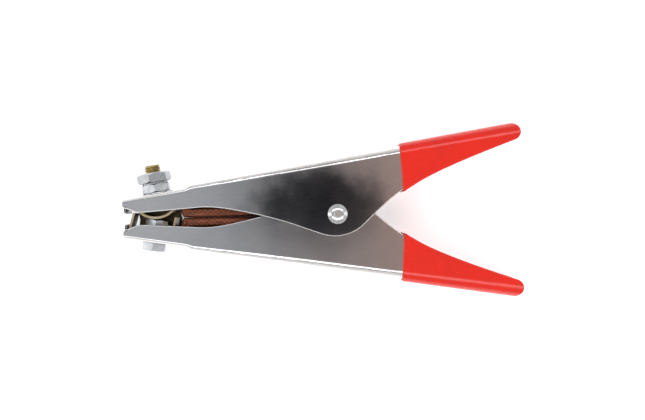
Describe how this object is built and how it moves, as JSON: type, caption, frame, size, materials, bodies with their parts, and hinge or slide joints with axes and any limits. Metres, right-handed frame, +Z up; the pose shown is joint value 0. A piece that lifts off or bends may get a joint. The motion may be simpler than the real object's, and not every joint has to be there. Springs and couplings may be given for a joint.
{
  "type": "ground clamp",
  "caption": "Spring-loaded welding ground clamp: pressed steel arms on a rivet, red coated handles, brass jaw contacts, copper bonding strap and a threaded cable terminal.",
  "frame": {"origin": "under the middle of the whole clamp's box, at the height of the lowest point, the far head of the pivot rivet, with the clamp lying on its side", "axes": "+X along the clamp from the jaws to the handles, +Y across it towards the arm that carries the threaded terminal, +Z up along the pivot rivet"},
  "size_m": [0.1926, 0.084, 0.0319],
  "materials": {
    "plated_steel": "bright plated",
    "red_coat": "smooth dipped vinyl",
    "bright_steel": "satin",
    "zinc_steel": "bright zinc plated",
    "spring_steel": "oiled dark spring wire",
    "brass": "worn bright brass",
    "copper": "bare copper, dulled"
  },
  "bodies": {
    "upper_jaw": {"upper_arm": "plated_steel", "upper_grip": "red_coat", "pivot_rivet": "bright_steel", "pivot_bush": "bright_steel", "near_pivot_washer": "bright_steel", "far_pivot_washer": "bright_steel", "torsion_spring": "spring_steel", "terminal_stud": "brass", "terminal_base_washer": "zinc_steel", "terminal_base_nut": "zinc_steel", "terminal_lock_washer": "zinc_steel", "terminal_clamp_nut": "zinc_steel", "upper_contact": "brass", "upper_strap_end": "copper", "bond_strap": "copper"},
    "lower_jaw": {"lower_arm": "plated_steel", "lower_grip": "red_coat", "lower_bolt": "zinc_steel", "lower_bolt_washer": "zinc_steel", "lower_lock_washer": "zinc_steel", "lower_nut": "zinc_steel", "lower_contact": "brass", "lower_strap_end": "copper"}
  },
  "joints": [
    {"name": "jaw_pivot", "type": "hinge", "parent": "upper_jaw", "child": "lower_jaw", "pos_m": [0.00741, 0, 0.01595], "axis": [0, 0, 1], "range_deg": [0, 30], "stiffness_Nm_per_rad": 4, "springref_deg": -45.84, "deforming": ["torsion_spring", "bond_strap"]}
  ]
}
